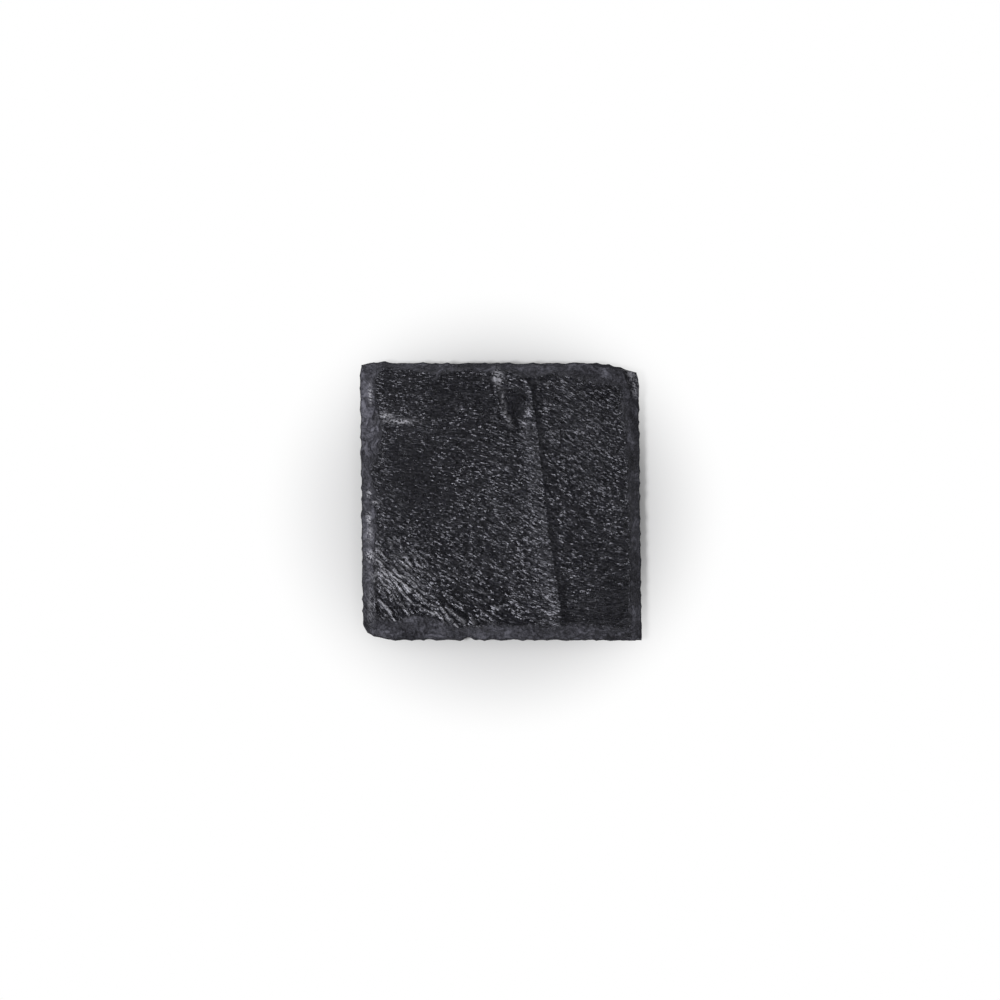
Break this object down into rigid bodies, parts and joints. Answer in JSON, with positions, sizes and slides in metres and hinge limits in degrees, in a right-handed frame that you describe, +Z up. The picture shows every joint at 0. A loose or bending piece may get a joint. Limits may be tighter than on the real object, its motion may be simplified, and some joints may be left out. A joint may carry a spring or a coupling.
{
  "type": "drink coaster",
  "caption": "Square drink coaster of natural riven slate with hand-dressed chipped edges, on small round foam feet.",
  "frame": {"origin": "middle of the coaster's bounding box at the height of the feet's bottoms, on the surface it stands on", "axes": "+X is the coaster's right side in the picture, +Y its back (up in the picture), +Z up, away from the table"},
  "size_m": [0.1008, 0.1, 0.007],
  "materials": {
    "slate": "satin",
    "foam": "matte",
    "adhesive": "satin"
  },
  "bodies": {
    "root": {"slate": "slate", "foot_front_left": "foam", "foot_front_right": "foam", "foot_back_right": "foam", "foot_back_left": "foam", "adhesive_front_left": "adhesive", "adhesive_front_right": "adhesive", "adhesive_back_right": "adhesive", "adhesive_back_left": "adhesive"}
  },
  "joints": []
}
